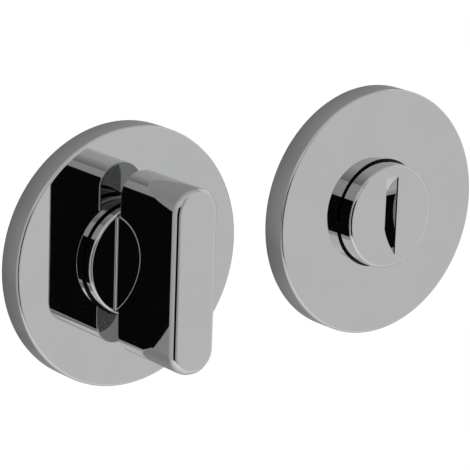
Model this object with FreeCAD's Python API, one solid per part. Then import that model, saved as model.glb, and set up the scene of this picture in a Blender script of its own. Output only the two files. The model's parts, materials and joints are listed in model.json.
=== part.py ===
import FreeCAD, Part
import math
import os

from FreeCAD import Vector

# Bathroom thumb turn lock: the inside turn and the outside emergency release, side by side.
# Millimetres. The door face is y = 0, the fronts look towards -Y and Z is up.
# The origin is where the turn's axis meets the door face.

# Round roses, shared by both halves
rose_dia = 52.0
rose_depth = 5.5
rose_edge_round = 0.6
rose_back_break = 0.2
cover_front = 1.2
cover_rim = 1.5
rose_pitch = 64.0

# Heads that turn in the roses
head_dia = 22.1
shadow_gap = 0.45
running_gap = 0.05
slip_gap = 0.05

# Base plates under the covers
base_gap = 0.1
base_web = 1.6
base_rim = 2.0
hub_dia = 18.0
hub_proud = 5.0
rib_count = 6
rib_width = 1.4
casting_round = 0.5
fixing_inset = 5.4
fixing_pad_dia = 10.4
fixing_hole_dia = 4.3
fixing_head_dia = 7.8
fixing_head_depth = 2.2

# Nylon bushes
bush_wall = 1.6
bush_flange_lap = 0.8
bush_flange = 0.8

# Wire rings that hold the covers on
snap_wire_dia = 1.0
snap_bite = 0.25
snap_height = 1.7
snap_play = 0.05
snap_split_deg = 50.0

# Stems, their retaining rings and washers
stem_dia = 10.0
stem_end_break = 0.4
groove_depth = 0.25
groove_play = 0.05
circlip = 1.0
circlip_width = 1.7
circlip_lean = 0.25
circlip_ear_dia = 2.6
circlip_ear_hole_dia = 1.2
circlip_ear_deg = 21.0
circlip_split_deg = 18.0
thrust_washer = 0.5
thrust_washer_dia = 16.0
washer_gap = 0.2
wave_washer = 0.3
wave_washer_dia = 15.0
wave_height = 0.7
wave_count = 3
wave_steps = 8

# Thumb turn
turn_boss_proud = 2.5
turn_boss_round = 0.55
blade_gap = 3.35
blade_reach = 21.2
blade_height = 36.4
blade_width = 10.0
blade_corner = 4.7
blade_tip_round = 1.4
blade_root_round = 0.3
foot_round = 0.45
turn_stem_proud = 14.0

# Spindle and its grub screw
spindle_side = 5.0
spindle_break = 0.4
spindle_proud = 30.0
spindle_seat = 8.0
socket_gap = 0.05
grub_dia = 3.0
grub_key = 1.5
grub_key_depth = 1.2
grub_from_end = 3.0
grub_gap = 0.03

# Emergency release
plug_proud = 3.85
plug_round = 0.45
slot_width = 2.8
slot_length = 16.8
slot_depth = 2.1
slot_break = 0.2
plug_stem_proud = 16.0
plug_socket_depth = 13.0

# Threaded pillars in the release's base plate
pillar_dia = 6.0
pillar_proud = 7.0
pillar_head_dia = 7.8
pillar_head = 1.0
pillar_tapping_dia = 3.3
pillar_thread_depth = 9.0

# Sizes that follow from the ones above
rose_r = rose_dia / 2
head_r = head_dia / 2
stem_r = stem_dia / 2
hub_r = hub_dia / 2
cover_bore_r = head_r + shadow_gap
cavity_r = rose_r - cover_rim
base_r = cavity_r - base_gap
base_front = -(rose_depth - cover_front)
head_back = base_front - running_gap
bush_bore_r = stem_r + running_gap
bush_r = bush_bore_r + bush_wall
bush_flange_r = cover_bore_r + bush_flange_lap
groove_r = stem_r - groove_depth
thrust_y = hub_proud
wave_y = thrust_y + thrust_washer + running_gap
circlip_y = wave_y + wave_height + wave_washer + running_gap
snap_wire_r = snap_wire_dia / 2
snap_ring_r = cavity_r + snap_bite - snap_wire_r
snap_y = -snap_height
fixing_z = base_r - fixing_inset
boss_y = -(rose_depth + turn_boss_proud)
root_y = -(rose_depth + blade_gap)
tip_y = -(rose_depth + blade_reach)
grub_y = turn_stem_proud - grub_from_end

# Distance below which two places count as one
touch = 1e-6

AXIS = Vector(0, 1, 0)
CENTRE = Vector(0, 0, 0)


def cylinder(radius, y_from, y_to, x=0.0, z=0.0):
    """Solid cylinder along Y."""
    return Part.makeCylinder(radius, y_to - y_from, Vector(x, y_from, z), AXIS)


def tube(outer, inner, y_from, y_to, x=0.0, z=0.0):
    """Hollow cylinder along Y."""
    return cylinder(outer, y_from, y_to, x, z).cut(cylinder(inner, y_from, y_to, x, z))


def block(size_x, size_z, y_from, y_to):
    """Box centred on the Y axis."""
    corner = Vector(-size_x / 2, y_from, -size_z / 2)
    return Part.makeBox(size_x, y_to - y_from, size_z, corner)


def circle_edges(shape, radius, y):
    """Full circles about the Y axis at one height."""
    found = []
    for edge in shape.Edges:
        curve = edge.Curve
        if not isinstance(curve, Part.Circle):
            continue
        on_axis = math.hypot(curve.Center.x, curve.Center.z) < touch
        if on_axis and abs(curve.Center.y - y) < touch and abs(curve.Radius - radius) < touch:
            found.append(edge)
    return found


def edges_at(shape, y):
    """Edges that lie in one plane across the Y axis."""
    return [edge for edge in shape.Edges if all(abs(v.Y - y) < touch for v in edge.Vertexes)]


def snap_groove(outer, inner):
    """Ring of square section that makes room for the wire ring."""
    half = snap_wire_r + snap_play
    return tube(outer, inner, snap_y - half, snap_y + half)


def cover_rose():
    """Cup with a thin front, a bore for the head and a groove for the wire ring."""
    disc = cylinder(rose_r, -rose_depth, 0)
    disc = disc.makeFillet(rose_edge_round, circle_edges(disc, rose_r, -rose_depth))
    disc = disc.makeChamfer(rose_back_break, circle_edges(disc, rose_r, 0))
    cup = disc.cut(cylinder(cavity_r, base_front, 0))
    cup = cup.cut(cylinder(cover_bore_r, -rose_depth, base_front))
    return cup.cut(snap_groove(cavity_r + snap_bite + snap_play, cavity_r - snap_bite))


def base_ribs():
    """Spokes between the hub and the rim on the door side of a base plate."""
    spokes = []
    length = base_r - base_rim / 2
    for index in range(rib_count):
        spoke = Part.makeBox(length, -base_front, rib_width, Vector(0, base_front, -rib_width / 2))
        spoke.rotate(CENTRE, AXIS, 360.0 * index / rib_count)
        spokes.append(spoke)
    return spokes


def base_plate(hole_dia, head_hole_dia, head_hole_depth):
    """Cast plate with a rim, ribs, a bearing hub and two stepped fixing holes."""
    rim = tube(base_r, base_r - base_rim, base_front, 0)
    web = cylinder(base_r, base_front, base_front + base_web)
    hub = cylinder(hub_r, base_front, hub_proud)
    hub = hub.makeFillet(casting_round, circle_edges(hub, hub_r, hub_proud))
    pads = [cylinder(fixing_pad_dia / 2, base_front, 0, z=z) for z in (-fixing_z, fixing_z)]
    plate = web.multiFuse([rim, hub] + pads + base_ribs()).removeSplitter()
    plate = plate.cut(cylinder(bush_r + slip_gap, base_front, hub_proud))
    plate = plate.cut(cylinder(bush_flange_r + slip_gap, base_front, base_front + bush_flange))
    for z in (-fixing_z, fixing_z):
        plate = plate.cut(cylinder(hole_dia / 2, base_front, 0, z=z))
        plate = plate.cut(cylinder(head_hole_dia / 2, base_front, base_front + head_hole_depth, z=z))
    return plate.cut(snap_groove(base_r + base_gap, snap_ring_r - snap_wire_r - snap_play))


def bush():
    """Flanged sleeve; the flange shows as the dark ring around the head."""
    sleeve = cylinder(bush_r, base_front, hub_proud)
    flange = cylinder(bush_flange_r, base_front, base_front + bush_flange)
    return sleeve.fuse(flange).removeSplitter().cut(cylinder(bush_bore_r, base_front, hub_proud))


def snap_ring():
    """Split ring of round wire."""
    half_split = snap_split_deg / 2
    ring = Part.makeTorus(snap_ring_r, snap_wire_r, CENTRE, AXIS, 0, 360, 360 - snap_split_deg)
    ring.rotate(CENTRE, AXIS, half_split)
    ring.translate(Vector(0, snap_y, 0))
    return ring


def stem(proud):
    """Round stem with a chamfered end and a groove for the retaining ring."""
    shaft = cylinder(stem_r, head_back, proud)
    shaft = shaft.makeChamfer(stem_end_break, circle_edges(shaft, stem_r, proud))
    groove_end = circlip_y + circlip + groove_play
    return shaft.cut(tube(stem_r + slip_gap, groove_r, circlip_y - groove_play, groove_end))


def socket(y_from, y_to):
    """Square hole for the spindle."""
    side = spindle_side + 2 * socket_gap
    return block(side, side, y_from, y_to)


def blade():
    """Finger blade: a flat bar with rounded ends and rounded edges."""
    bar = block(blade_width, blade_height, tip_y, root_y)
    long_edges = []
    for edge in bar.Edges:
        if abs(edge.Vertexes[0].Y - edge.Vertexes[1].Y) > touch:
            long_edges.append(edge)
    bar = bar.makeFillet(blade_corner, long_edges)
    bar = bar.makeFillet(blade_tip_round, edges_at(bar, tip_y))
    return bar.makeFillet(blade_root_round, edges_at(bar, root_y))


def blade_foot():
    """Foot of the blade on the boss, with a hollow fillet along both sides."""
    foot = block(blade_width, head_dia, root_y - blade_root_round, boss_y)
    flare_top = boss_y - foot_round
    flare = block(blade_width + 2 * foot_round, head_dia, flare_top, boss_y)
    for side in (-1, 1):
        start = Vector(side * (blade_width / 2 + foot_round), flare_top, -head_r)
        flare = flare.cut(Part.makeCylinder(foot_round, head_dia, start, Vector(0, 0, 1)))
    foot = foot.fuse(flare).removeSplitter()
    return foot.common(cylinder(head_r - turn_boss_round, root_y - blade_root_round, boss_y))


def knob():
    """Turn cast in one piece: blade, foot, boss and stem, with the spindle's socket."""
    boss = cylinder(head_r, boss_y, head_back)
    boss = boss.makeFillet(turn_boss_round, circle_edges(boss, head_r, boss_y))
    body = boss.multiFuse([blade(), blade_foot(), stem(turn_stem_proud)]).removeSplitter()
    body = body.cut(socket(-spindle_seat, turn_stem_proud))
    grub_hole = Part.makeCylinder(grub_dia / 2, stem_r, Vector(0, grub_y, 0), Vector(1, 0, 0))
    return body.cut(grub_hole)


def spindle():
    """Square bar with broken corners."""
    bar = block(spindle_side, spindle_side, -spindle_seat, spindle_proud)
    return bar.makeChamfer(spindle_break, bar.Edges)


def grub_screw():
    """Headless screw from the spindle's flat to the stem's surface, with a hexagon socket."""
    inner_x = spindle_side / 2
    length = stem_r - inner_x - grub_gap
    screw = Part.makeCylinder(grub_dia / 2 - grub_gap, length, Vector(inner_x, grub_y, 0), Vector(1, 0, 0))
    corner_r = grub_key / math.sqrt(3)
    key_x = inner_x + length - grub_key_depth
    corners = []
    for index in range(7):
        angle = math.radians(60.0 * index)
        across = corner_r * math.sin(angle)
        corners.append(Vector(key_x, grub_y + corner_r * math.cos(angle), across))
    key = Part.Face(Part.makePolygon(corners)).extrude(Vector(grub_key_depth, 0, 0))
    return screw.cut(key)


def thrust_washer_ring():
    """Plain washer on the end of the hub."""
    return tube(thrust_washer_dia / 2, stem_r + washer_gap, thrust_y, thrust_y + thrust_washer)


def wave_loop(radius):
    """Closed wavy line around the stem."""
    points = []
    steps = wave_steps * wave_count
    for index in range(steps):
        angle = 2 * math.pi * index / steps
        y = wave_y + wave_height * (1 - math.cos(wave_count * angle)) / 2
        points.append(Vector(radius * math.cos(angle), y, radius * math.sin(angle)))
    curve = Part.BSplineCurve()
    curve.interpolate(points, PeriodicFlag=True)
    return curve.toShape()


def wave_spring():
    """Wavy spring washer between the plain washer and the retaining ring."""
    inner = wave_loop(stem_r + washer_gap)
    outer = wave_loop(wave_washer_dia / 2)
    return Part.makeRuledSurface(inner, outer).extrude(Vector(0, wave_washer, 0))


def retaining_ring():
    """Split ring for the stem's groove, widest opposite its two eared ends."""
    inner_r = groove_r + slip_gap
    outer_r = inner_r + circlip_width
    y_end = circlip_y + circlip
    ring = cylinder(outer_r - circlip_lean, circlip_y, y_end, z=-circlip_lean)
    ear_path = inner_r + circlip_ear_dia / 2
    ears = []
    holes = []
    for side in (-1, 1):
        angle = math.radians(90.0 + side * circlip_ear_deg)
        x = ear_path * math.cos(angle)
        z = ear_path * math.sin(angle)
        ears.append(cylinder(circlip_ear_dia / 2, circlip_y, y_end, x, z))
        holes.append(cylinder(circlip_ear_hole_dia / 2, circlip_y, y_end, x, z))
    reach = 2 * outer_r
    half_split = reach * math.tan(math.radians(circlip_split_deg / 2))
    wedge = Part.makePolygon([
        Vector(0, circlip_y, 0),
        Vector(half_split, circlip_y, reach),
        Vector(-half_split, circlip_y, reach),
        Vector(0, circlip_y, 0),
    ])
    split = Part.Face(wedge).extrude(Vector(0, circlip, 0))
    body = ring.multiFuse(ears).removeSplitter()
    body = body.cut(cylinder(inner_r, circlip_y, y_end))
    for tool in holes + [split]:
        body = body.cut(tool)
    return body


def plug():
    """Release head with a coin slot cut by a disc, on a stem with a square socket."""
    face_y = -(rose_depth + plug_proud)
    head = cylinder(head_r, face_y, head_back)
    head = head.makeFillet(plug_round, circle_edges(head, head_r, face_y))
    floor_r = ((slot_length / 2) ** 2 + slot_depth ** 2) / (2 * slot_depth)
    floor_y = face_y - (floor_r - slot_depth)
    cutter = Part.makeCylinder(
        floor_r, slot_width, Vector(-slot_width / 2, floor_y, 0), Vector(1, 0, 0))
    body = head.fuse(stem(plug_stem_proud)).removeSplitter().cut(cutter)
    long_edges = []
    for edge in edges_at(body, face_y):
        if isinstance(edge.Curve, Part.Line) and edge.Length > slot_width:
            long_edges.append(edge)
    body = body.makeChamfer(slot_break, long_edges)
    return body.cut(socket(plug_stem_proud - plug_socket_depth, plug_stem_proud))


def fixing_pillar(z):
    """Headed pillar through the release's base plate, tapped from the door side."""
    shank = cylinder(pillar_dia / 2, base_front, pillar_proud, z=z)
    head = cylinder(pillar_head_dia / 2, base_front, base_front + pillar_head, z=z)
    body = shank.fuse(head).removeSplitter()
    thread_from = pillar_proud - pillar_thread_depth
    return body.cut(cylinder(pillar_tapping_dia / 2, thread_from, pillar_proud, z=z))


def turn_half():
    """Inside half: turn, rose and spindle."""
    return {
        "turn_cover_rose": cover_rose(),
        "turn_base_plate": base_plate(fixing_hole_dia, fixing_head_dia, fixing_head_depth),
        "turn_bush": bush(),
        "turn_snap_ring": snap_ring(),
        "turn_thrust_washer": thrust_washer_ring(),
        "turn_wave_washer": wave_spring(),
        "turn_retaining_ring": retaining_ring(),
        "turn_knob": knob(),
        "spindle": spindle(),
        "spindle_grub_screw": grub_screw(),
    }


def release_half():
    """Outside half: slotted release and its rose, still on the turn's axis."""
    pillar_hole = pillar_dia + 2 * slip_gap
    pillar_seat = pillar_head_dia + 2 * slip_gap
    return {
        "release_cover_rose": cover_rose(),
        "release_base_plate": base_plate(pillar_hole, pillar_seat, pillar_head),
        "release_bush": bush(),
        "release_snap_ring": snap_ring(),
        "release_thrust_washer": thrust_washer_ring(),
        "release_wave_washer": wave_spring(),
        "release_retaining_ring": retaining_ring(),
        "release_plug": plug(),
        "release_pillar_upper": fixing_pillar(fixing_z),
        "release_pillar_lower": fixing_pillar(-fixing_z),
    }


os.makedirs("parts", exist_ok=True)
for node, shape in turn_half().items():
    shape.exportStep("parts/" + node + ".step")
for node, shape in release_half().items():
    shape.translate(Vector(rose_pitch, 0, 0))
    shape.exportStep("parts/" + node + ".step")
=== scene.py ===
import json
import math
from collections import namedtuple

import bpy
from mathutils import Matrix, Vector


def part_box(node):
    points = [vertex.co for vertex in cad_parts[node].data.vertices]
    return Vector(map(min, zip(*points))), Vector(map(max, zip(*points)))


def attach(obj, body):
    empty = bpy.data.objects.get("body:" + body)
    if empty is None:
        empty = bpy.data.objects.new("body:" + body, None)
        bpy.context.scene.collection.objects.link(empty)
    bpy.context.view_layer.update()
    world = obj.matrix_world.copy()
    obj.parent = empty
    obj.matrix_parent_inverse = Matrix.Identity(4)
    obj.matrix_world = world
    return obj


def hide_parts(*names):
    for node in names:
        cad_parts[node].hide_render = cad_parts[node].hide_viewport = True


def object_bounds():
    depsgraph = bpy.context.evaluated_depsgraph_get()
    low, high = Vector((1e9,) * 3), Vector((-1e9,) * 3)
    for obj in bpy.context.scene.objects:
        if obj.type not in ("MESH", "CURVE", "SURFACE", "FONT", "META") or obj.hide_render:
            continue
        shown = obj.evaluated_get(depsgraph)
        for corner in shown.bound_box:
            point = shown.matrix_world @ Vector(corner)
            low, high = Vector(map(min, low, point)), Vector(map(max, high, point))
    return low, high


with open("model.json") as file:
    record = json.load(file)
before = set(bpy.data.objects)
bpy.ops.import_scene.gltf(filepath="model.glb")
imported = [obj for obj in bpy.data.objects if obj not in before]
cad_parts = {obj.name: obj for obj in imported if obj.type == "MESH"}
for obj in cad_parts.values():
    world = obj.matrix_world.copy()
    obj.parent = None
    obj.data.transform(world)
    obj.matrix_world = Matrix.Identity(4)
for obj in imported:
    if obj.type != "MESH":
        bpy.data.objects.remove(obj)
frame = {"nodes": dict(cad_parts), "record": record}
cad_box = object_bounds()

# Camera: place in metres, turns in degrees, focal length in pixels of the square image, sensor in millimetres
CAMERA_PLACE = Vector((-0.29321, -0.40313, 0.14231))
CAMERA_YAW = 38.751
CAMERA_PITCH = -15.522
CAMERA_ROLL = 1.998
IMAGE_PIXELS = 470
FOCAL_PIXELS = 2655.9
SENSOR_WIDTH = 36.0

# Reflections that are followed between faces that mirror each other
MIRROR_BOUNCES = 12

# Parts of the noise's range that are spread over a finish's roughness and over its colours
ROUGHNESS_PART = (0.25, 0.75)
COLOUR_PART = (0.3, 0.7)

# Chrome: stretch of Y in metres over which painted shade darkens the plate's colour towards the door, and its
# shades at both ends
PAINTED_SHADE_STRETCH = (-0.0052, 0.0)
PAINTED_SHADE_SCALE = (1.0, 0.68)

# Roses: sizes in metres that place the round on their front edge, and the roughness that is added there
ROSE_SPACING = 0.064
ROSE_RADIUS = 0.026
ROSE_DEPTH = 0.0055
ROSE_ROUND = 0.0006
EDGE_SATIN = 0.12

# Release head: sizes in metres that place the buffed band on its front edge, the sine of the angle at which
# the band leans in its middle, and how steeply that sine grows on either side
HEAD_RADIUS = 0.01105
HEAD_FACE = -0.00935
HEAD_ROUND = 0.00045
HEAD_BUFF = 0.0008
BEVEL_LEAN = 0.65
BEVEL_STEEP = 1.25

# Tapped pillars of the release: sizes in metres
PILLAR_HEAD = 0.001
PILLAR_RADIUS = 0.003
PILLAR_BREAK = 0.0003
THREAD_PITCH = 0.0007
THREAD_MAJOR = 0.002
THREAD_MINOR = 0.00165
THREAD_MOUTH = 0.0022
THREAD_DEPTH = 0.009
DRILL_POINT = 0.001

# Their M4 thread: flat shares of the pitch, how finely it is drawn, and the angle in degrees from which an
# edge of the pillar is sharp
ROOT_SHARE = 0.125
CREST_SHARE = 0.25
ROWS_PER_PITCH = 6
POINTS_AROUND = 36
SHARP_ANGLE = 35.0

# Studio: a pale floor under the lock and a ring of cards around it, in metres and degrees
FLOOR_DROP = 0.75
FLOOR_HALF = 12.0
FLOOR_COLOUR = 0.9
FLOOR_GLOW = 0.12
CARD_STEP = 3.0
RING_RADIUS = 0.9
GROUND_ELEVATION = -38.0
ROOF_ELEVATION = 45.0
WHITE = (1.0, 1.0, 1.0, 1.0)
SQUARE_CORNERS = ((-1, -1), (1, -1), (1, 1), (-1, 1))
SQUARE_FACE = (0, 1, 2, 3)

# A curved card: azimuths from +X towards +Y at its start and end, levels there, what is added to the level
# at its lower and upper edges, its radius, and the elevations of those edges
Card = namedtuple(
    "Card", "name start end first last low_rise high_rise radius low high",
    defaults=(0.0, 0.0, RING_RADIUS, GROUND_ELEVATION, ROOF_ELEVATION),
)
STUDIO_CARDS = (
    Card("light_card", start=285.0, end=325.0, first=0.79, last=0.79),
    Card("right_card", start=325.0, end=398.0, first=0.79, last=0.95),
    Card("shade_card", start=250.0, end=285.0, first=0.35, last=0.79),
    Card("back_card", start=38.0, end=124.0, first=0.32, last=0.305, high_rise=0.06),
    Card("side_card", start=124.0, end=148.0, first=0.305, last=0.50, high_rise=0.06),
    Card("left_card", start=148.0, end=206.0, first=0.50, last=0.62, low_rise=0.05, high_rise=0.15),
    Card("near_card", start=206.0, end=250.0, first=0.60, last=0.50, low_rise=0.25, high_rise=0.25),
    Card("camera_flag", start=215.0, end=246.0, first=0.005, last=0.005, radius=0.8, low=-34.0, high=19.0),
)

# A level card that closes the ring: elevation of the ring's edge, levels at the back and at the front
LevelCard = namedtuple("LevelCard", "name elevation back front")
LEVEL_CARDS = (
    LevelCard("ground_card", elevation=GROUND_ELEVATION, back=0.27, front=1.25),
    LevelCard("roof_card", elevation=ROOF_ELEVATION, back=0.36, front=0.80),
)


# Shader helpers

def new_material(name):
    """A new material, its node tree and its shader."""
    material = bpy.data.materials.new(name)
    material.use_nodes = True
    tree = material.node_tree
    return material, tree, tree.nodes["Principled BSDF"]


def object_place(tree):
    """Coordinates that move with the piece."""
    return tree.nodes.new("ShaderNodeTexCoord").outputs["Object"]


def noise(tree, place, scale, detail=4.0, stretch=(1.0, 1.0, 1.0)):
    """Noise between 0 and 1 at a scale in cells per metre."""
    mapping = tree.nodes.new("ShaderNodeMapping")
    mapping.inputs["Scale"].default_value = stretch
    texture = tree.nodes.new("ShaderNodeTexNoise")
    texture.inputs["Scale"].default_value = scale
    texture.inputs["Detail"].default_value = detail
    tree.links.new(place, mapping.inputs["Vector"])
    tree.links.new(mapping.outputs["Vector"], texture.inputs["Vector"])
    return texture.outputs["Fac"]


def remap(tree, value, source, target):
    """A value carried from one range to another and held at its ends."""
    node = tree.nodes.new("ShaderNodeMapRange")
    node.inputs["From Min"].default_value = source[0]
    node.inputs["From Max"].default_value = source[1]
    node.inputs["To Min"].default_value = target[0]
    node.inputs["To Max"].default_value = target[1]
    tree.links.new(value, node.inputs["Value"])
    return node.outputs["Result"]


def roughen(tree, shader, value, low, high):
    """Roughness between two limits, by a noise."""
    tree.links.new(remap(tree, value, ROUGHNESS_PART, (low, high)), shader.inputs["Roughness"])


def blend_colours(tree, value, first, second):
    """A colour between two, by a noise."""
    ramp = tree.nodes.new("ShaderNodeValToRGB")
    for element, position, colour in zip(ramp.color_ramp.elements, COLOUR_PART, (first, second)):
        element.position = position
        element.color = (*colour, 1.0)
    tree.links.new(value, ramp.inputs["Fac"])
    return ramp.outputs["Color"]


def bump(tree, shader, height, depth):
    """Relief of a depth in metres."""
    node = tree.nodes.new("ShaderNodeBump")
    node.inputs["Strength"].default_value = 1.0
    node.inputs["Distance"].default_value = depth
    tree.links.new(height, node.inputs["Height"])
    tree.links.new(node.outputs["Normal"], shader.inputs["Normal"])


def calculate(tree, operation, *values):
    """The result of a mathematical operation on sockets or numbers."""
    node = tree.nodes.new("ShaderNodeMath")
    node.operation = operation
    for socket, value in zip(node.inputs, values):
        if isinstance(value, bpy.types.NodeSocket):
            tree.links.new(value, socket)
        else:
            socket.default_value = value
    return node.outputs["Value"]


def find_socket(sockets, identifier):
    """The socket with an identifier, on a node where several have the same name."""
    return next(socket for socket in sockets if socket.identifier == identifier)


# Normals of the chrome's edges

def axis_place(tree, xyz):
    """Place across, up and out from the nearer turning axis."""
    across = calculate(tree, "WRAP", xyz["X"], ROSE_SPACING / 2, -ROSE_SPACING / 2)
    up = xyz["Z"]
    squares = calculate(tree, "MULTIPLY_ADD", across, across, calculate(tree, "MULTIPLY", up, up))
    return across, up, calculate(tree, "SQRT", squares)


def bent_normal(tree, normal, mask, direction):
    """A normal that takes another direction, given in object space, where the mask is 1."""
    join = tree.nodes.new("ShaderNodeCombineXYZ")
    for part, socket in zip(direction, join.inputs):
        tree.links.new(part, socket)
    turned = tree.nodes.new("ShaderNodeVectorTransform")
    turned.vector_type = "NORMAL"
    turned.convert_from = "OBJECT"
    turned.convert_to = "WORLD"
    tree.links.new(join.outputs["Vector"], turned.inputs["Vector"])
    mix = tree.nodes.new("ShaderNodeMix")
    mix.data_type = "VECTOR"
    tree.links.new(mask, find_socket(mix.inputs, "Factor_Float"))
    tree.links.new(normal, find_socket(mix.inputs, "A_Vector"))
    tree.links.new(turned.outputs["Vector"], find_socket(mix.inputs, "B_Vector"))
    return find_socket(mix.outputs, "Result_Vector")


def rose_edge(tree, xyz, from_axis, normal):
    """A mask for the round on a rose's front edge, and a normal that follows the round."""
    across, up, radius = from_axis
    outward = calculate(tree, "SUBTRACT", radius, ROSE_RADIUS - ROSE_ROUND)
    inward = calculate(tree, "SUBTRACT", xyz["Y"], ROSE_ROUND - ROSE_DEPTH)
    outside = calculate(tree, "GREATER_THAN", outward, 0.0)
    front = calculate(tree, "LESS_THAN", inward, 0.0)
    mask = calculate(tree, "MULTIPLY", outside, front)
    share = calculate(tree, "DIVIDE", outward, radius)
    sideways = calculate(tree, "MULTIPLY", share, across)
    upwards = calculate(tree, "MULTIPLY", share, up)
    return mask, bent_normal(tree, normal, mask, (sideways, inward, upwards))


def head_edge(tree, xyz, from_axis, normal):
    """A normal that rolls over the buffed band on the release head's front edge."""
    across, up, radius = from_axis
    outward = calculate(tree, "SUBTRACT", radius, HEAD_RADIUS - HEAD_BUFF)
    outside = calculate(tree, "GREATER_THAN", outward, 0.0)
    front = calculate(tree, "LESS_THAN", xyz["Y"], HEAD_FACE + HEAD_ROUND)
    band = calculate(tree, "MULTIPLY", outside, front)
    release = calculate(tree, "GREATER_THAN", xyz["X"], ROSE_SPACING / 2)
    mask = calculate(tree, "MULTIPLY", band, release)
    steep = calculate(tree, "MULTIPLY", outward, BEVEL_STEEP / HEAD_BUFF)
    inner = calculate(tree, "MINIMUM", steep, BEVEL_LEAN)
    outer = calculate(tree, "MINIMUM", calculate(tree, "SUBTRACT", steep, BEVEL_STEEP - 1.0), 1.0)
    lean = calculate(tree, "MAXIMUM", inner, outer)
    squared = calculate(tree, "MULTIPLY", lean, lean)
    forward = calculate(tree, "SQRT", calculate(tree, "SUBTRACT", 1.0, squared))
    inward = calculate(tree, "MULTIPLY", forward, -1.0)
    share = calculate(tree, "DIVIDE", lean, radius)
    sideways = calculate(tree, "MULTIPLY", share, across)
    upwards = calculate(tree, "MULTIPLY", share, up)
    return bent_normal(tree, normal, mask, (sideways, inward, upwards))


# Materials

def chrome():
    """Bright chrome plate with a trace of polishing haze, and painted shade that darkens its colour towards
    the door.
    """
    material, tree, shader = new_material("polished_chrome")
    place = object_place(tree)
    split = tree.nodes.new("ShaderNodeSeparateXYZ")
    tree.links.new(place, split.inputs["Vector"])
    xyz = split.outputs
    shader.inputs["Metallic"].default_value = 1.0
    tone = noise(tree, place, scale=90.0)
    colour = blend_colours(tree, tone, first=(0.552, 0.556, 0.560), second=(0.566, 0.568, 0.570))
    # Painted shade: the base colour is scaled darker towards the door, where the plate meets it
    painted_shade = tree.nodes.new("ShaderNodeVectorMath")
    painted_shade.operation = "SCALE"
    tree.links.new(colour, painted_shade.inputs["Vector"])
    tree.links.new(remap(tree, xyz["Y"], PAINTED_SHADE_STRETCH, PAINTED_SHADE_SCALE), painted_shade.inputs["Scale"])
    tree.links.new(painted_shade.outputs["Vector"], shader.inputs["Base Color"])
    from_axis = axis_place(tree, xyz)
    normal = tree.nodes.new("ShaderNodeNewGeometry").outputs["Normal"]
    mask, normal = rose_edge(tree, xyz, from_axis, normal)
    normal = head_edge(tree, xyz, from_axis, normal)
    tree.links.new(normal, shader.inputs["Normal"])
    wiped = noise(tree, place, scale=700.0, detail=6.0, stretch=(1.0, 1.0, 0.15))
    haze = remap(tree, wiped, ROUGHNESS_PART, target=(0.015, 0.04))
    satin = calculate(tree, "MULTIPLY_ADD", mask, EDGE_SATIN, haze)
    tree.links.new(satin, shader.inputs["Roughness"])
    return material


def zinc_casting():
    """Raw die-cast zinc with cold flow marks and a fine grain."""
    material, tree, shader = new_material("zinc_casting")
    place = object_place(tree)
    shader.inputs["Metallic"].default_value = 0.85
    flow = noise(tree, place, scale=160.0, detail=8.0, stretch=(1.0, 1.0, 0.4))
    colour = blend_colours(tree, flow, first=(0.33, 0.34, 0.35), second=(0.47, 0.48, 0.49))
    tree.links.new(colour, shader.inputs["Base Color"])
    roughen(tree, shader, flow, low=0.42, high=0.6)
    bump(tree, shader, noise(tree, place, scale=2600.0), depth=0.00003)
    return material


def black_nylon():
    """Moulded black nylon with a fine grain."""
    material, tree, shader = new_material("black_nylon")
    place = object_place(tree)
    tone = noise(tree, place, scale=500.0)
    colour = blend_colours(tree, tone, first=(0.010, 0.010, 0.011), second=(0.022, 0.022, 0.023))
    tree.links.new(colour, shader.inputs["Base Color"])
    roughen(tree, shader, tone, low=0.42, high=0.56)
    bump(tree, shader, noise(tree, place, scale=5000.0), depth=0.00001)
    return material


def spring_steel():
    """Dark phosphated spring steel."""
    material, tree, shader = new_material("spring_steel")
    place = object_place(tree)
    shader.inputs["Metallic"].default_value = 0.9
    tone = noise(tree, place, scale=900.0, detail=6.0)
    colour = blend_colours(tree, tone, first=(0.085, 0.085, 0.09), second=(0.16, 0.16, 0.165))
    tree.links.new(colour, shader.inputs["Base Color"])
    roughen(tree, shader, tone, low=0.35, high=0.5)
    bump(tree, shader, noise(tree, place, scale=7000.0), depth=0.000008)
    return material


def plated_steel():
    """Zinc plate between a bluish and a yellowish tone, with drawn marks along Y."""
    material, tree, shader = new_material("plated_steel")
    place = object_place(tree)
    shader.inputs["Metallic"].default_value = 1.0
    tone = noise(tree, place, scale=140.0, detail=3.0)
    colour = blend_colours(tree, tone, first=(0.52, 0.55, 0.60), second=(0.62, 0.61, 0.58))
    tree.links.new(colour, shader.inputs["Base Color"])
    marks = noise(tree, place, scale=3000.0, detail=2.0, stretch=(1.0, 0.04, 1.0))
    roughen(tree, shader, marks, low=0.2, high=0.34)
    bump(tree, shader, marks, depth=0.000006)
    return material


def seen_rays(tree):
    """1 for rays from the camera and for mirrored or refracted ones."""
    path = tree.nodes.new("ShaderNodeLightPath").outputs
    either = calculate(tree, "MAXIMUM", path["Is Camera Ray"], path["Is Glossy Ray"])
    return calculate(tree, "MAXIMUM", either, path["Is Transmission Ray"])


def floor_material():
    """Pale matt floor that reads as white where no shadow falls."""
    material, tree, shader = new_material("pale_floor")
    shader.inputs["Base Color"].default_value = (FLOOR_COLOUR, FLOOR_COLOUR, FLOOR_COLOUR, 1.0)
    shader.inputs["Roughness"].default_value = 1.0
    shader.inputs["Specular IOR Level"].default_value = 0.0
    shader.inputs["Emission Color"].default_value = WHITE
    glow = calculate(tree, "MULTIPLY", seen_rays(tree), FLOOR_GLOW)
    tree.links.new(glow, shader.inputs["Emission Strength"])
    return material


def card_material():
    """A glow whose level is stored in the card's points."""
    material, tree, _ = new_material("studio_card")
    level = tree.nodes.new("ShaderNodeAttribute")
    level.attribute_name = "level"
    emission = tree.nodes.new("ShaderNodeEmission")
    tree.links.new(level.outputs["Fac"], emission.inputs["Strength"])
    tree.links.new(emission.outputs["Emission"], tree.nodes["Material Output"].inputs["Surface"])
    return material


# Mesh helper

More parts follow.
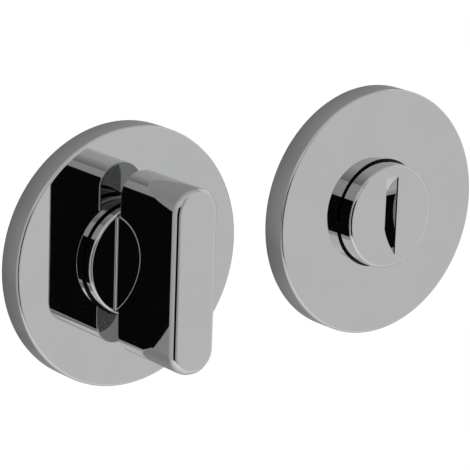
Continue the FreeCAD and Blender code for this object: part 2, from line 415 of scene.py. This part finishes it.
def add_mesh(name, points, faces, material):
    """A mesh object from points and faces, in one material."""
    mesh = bpy.data.meshes.new(name)
    mesh.from_pydata(points, [], faces)
    mesh.materials.append(material)
    made = bpy.data.objects.new(name, mesh)
    bpy.context.scene.collection.objects.link(made)
    return made


# Tapped pillars

def thread_radius(depth, turn):
    """Radius of a right-hand tapped hole at a depth below its mouth and a share of a turn."""
    # 0 in the middle of the thread's root and 1 in the middle of its crest
    wave = abs(2.0 * ((depth / THREAD_PITCH - turn) % 1.0) - 1.0)
    flank = (1.0 - CREST_SHARE - wave) / (1.0 - CREST_SHARE - ROOT_SHARE)
    run_out = (THREAD_DEPTH - depth) / THREAD_PITCH
    cut = (THREAD_MAJOR - THREAD_MINOR) * min(max(flank, 0.0), 1.0) * min(run_out, 1.0)
    return max(THREAD_MINOR + cut, THREAD_MOUTH - depth)


def pillar_rows(front, back, head_radius, turns):
    """Rows of a pillar over its outside and down its thread: each row's Y, and its radius at each turn."""
    outside = (
        (front, head_radius - PILLAR_BREAK),
        (front + PILLAR_BREAK, head_radius),
        (front + PILLAR_HEAD, head_radius),
        (front + PILLAR_HEAD, PILLAR_RADIUS),
        (back - PILLAR_BREAK, PILLAR_RADIUS),
        (back, PILLAR_RADIUS - PILLAR_BREAK),
    )
    rows = [(y, [radius] * POINTS_AROUND) for y, radius in outside]
    steps = round(ROWS_PER_PITCH * THREAD_DEPTH / THREAD_PITCH)
    for step in range(steps + 1):
        depth = THREAD_DEPTH * step / steps
        rows.append((back - depth, [thread_radius(depth, turn) for turn in turns]))
    return rows


def row_faces(row_count):
    """Faces from a first point over rows of points to a last point."""
    last_row = 1 + (row_count - 1) * POINTS_AROUND
    last_point = last_row + POINTS_AROUND
    faces = []
    for index in range(POINTS_AROUND):
        beside = (index + 1) % POINTS_AROUND
        faces.append((0, 1 + index, 1 + beside))
        for row in range(1, last_row, POINTS_AROUND):
            after = row + POINTS_AROUND
            faces.append((row + index, after + index, after + beside, row + beside))
        faces.append((last_row + index, last_point, last_row + beside))
    return faces


def add_tapped_pillar(node, material):
    """A pillar with broken edges and an M4 thread cut into it, in place of a plain one."""
    low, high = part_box(node)
    centre = (low + high) / 2
    turns = [index / POINTS_AROUND for index in range(POINTS_AROUND)]
    rows = pillar_rows(low.y, high.y, (high.x - low.x) / 2, turns)
    points = [(centre.x, low.y, centre.z)]
    for y, radii in rows:
        for turn, radius in zip(turns, radii):
            angle = math.tau * turn
            points.append((centre.x + radius * math.cos(angle), y, centre.z + radius * math.sin(angle)))
    points.append((centre.x, high.y - THREAD_DEPTH - DRILL_POINT, centre.z))
    pillar = add_mesh("tapped_" + node, points, row_faces(len(rows)), material)
    pillar.data.shade_smooth()
    pillar.data.set_sharp_from_angle(angle=math.radians(SHARP_ANGLE))
    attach(pillar, "root")
    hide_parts(node)


# Studio

def add_floor(z):
    """A wide level floor."""
    corners = [(x * FLOOR_HALF, y * FLOOR_HALF, z) for x, y in SQUARE_CORNERS]
    floor = add_mesh("floor", corners, [SQUARE_FACE], floor_material())


def stage_card(name, points, faces, levels, material):
    """A card that shows only in the lock's mirror finish."""
    card = add_mesh(name, points, faces, material)
    card.data.attributes.new("level", "FLOAT", "POINT").data.foreach_set("value", levels)
    card.visible_camera = False
    card.visible_diffuse = False
    card.visible_shadow = False


def add_card(centre, material, card):
    """A curved card that stands around the lock."""
    bottom = centre.z + card.radius * math.tan(math.radians(card.low))
    top = centre.z + card.radius * math.tan(math.radians(card.high))
    rows = ((bottom, card.low_rise), (centre.z, 0.0), (top, card.high_rise))
    steps = math.ceil((card.end - card.start) / CARD_STEP)
    points = []
    levels = []
    for index in range(steps + 1):
        angle = math.radians(card.start + (card.end - card.start) * index / steps)
        level = card.first + (card.last - card.first) * index / steps
        x = centre.x + card.radius * math.cos(angle)
        y = centre.y + card.radius * math.sin(angle)
        for height, rise in rows:
            points.append((x, y, height))
            levels.append(level + rise)
    count = len(rows)
    faces = []
    for index in range(steps):
        for row in range(count - 1):
            corner = count * index + row
            faces.append((corner, corner + count, corner + count + 1, corner + 1))
    stage_card(card.name, points, faces, levels, material)


def add_level_card(centre, material, card):
    """A square card above or below the lock, out to the ring of cards."""
    height = centre.z + RING_RADIUS * math.tan(math.radians(card.elevation))
    points = []
    levels = []
    for x, y in SQUARE_CORNERS:
        points.append((centre.x + x * RING_RADIUS, centre.y + y * RING_RADIUS, height))
        levels.append(card.back if y > 0 else card.front)
    stage_card(card.name, points, [SQUARE_FACE], levels, material)


def add_world():
    """Even white light from all around."""
    world = bpy.data.worlds.new("white_studio")
    world.use_nodes = True
    background = world.node_tree.nodes["Background"]
    background.inputs["Color"].default_value = WHITE
    background.inputs["Strength"].default_value = 1.0
    bpy.context.scene.world = world


def add_camera():
    """Camera at the photograph's viewpoint."""
    yaw = math.radians(CAMERA_YAW)
    pitch = math.radians(CAMERA_PITCH)
    roll = math.radians(CAMERA_ROLL)
    level = math.cos(pitch)
    forward = Vector((math.sin(yaw) * level, math.cos(yaw) * level, math.sin(pitch)))
    level_right = Vector((math.cos(yaw), -math.sin(yaw), 0.0))
    right = math.cos(roll) * level_right + math.sin(roll) * level_right.cross(forward)
    up = right.cross(forward)
    data = bpy.data.cameras.new("camera")
    data.sensor_width = SENSOR_WIDTH
    data.lens = SENSOR_WIDTH * FOCAL_PIXELS / IMAGE_PIXELS
    camera = bpy.data.objects.new("camera", data)
    turn = Matrix((right, up, -forward)).transposed()
    camera.matrix_world = Matrix.Translation(CAMERA_PLACE) @ turn.to_4x4()
    bpy.context.scene.collection.objects.link(camera)
    bpy.context.scene.camera = camera


# The lock's finishes
finishes = {
    "chrome": chrome(),
    "zinc_casting": zinc_casting(),
    "black_nylon": black_nylon(),
    "spring_steel": spring_steel(),
    "plated_steel": plated_steel(),
}
for subpart in frame["record"]["subparts"]:
    for slot in frame["nodes"][subpart["node"]].material_slots:
        slot.material = finishes[subpart["material_slot"]]

# Threads that the CAD pillars leave plain
for node in ("release_pillar_upper", "release_pillar_lower"):
    add_tapped_pillar(node, finishes["plated_steel"])

# The studio around the lock
middle = (cad_box[0] + cad_box[1]) / 2
add_floor(cad_box[0].z - FLOOR_DROP)
card_glow = card_material()
for card in STUDIO_CARDS:
    add_card(middle, card_glow, card)
for card in LEVEL_CARDS:
    add_level_card(middle, card_glow, card)
add_world()
add_camera()
bpy.context.scene.view_settings.view_transform = "Standard"
bpy.context.scene.cycles.glossy_bounces = MIRROR_BOUNCES
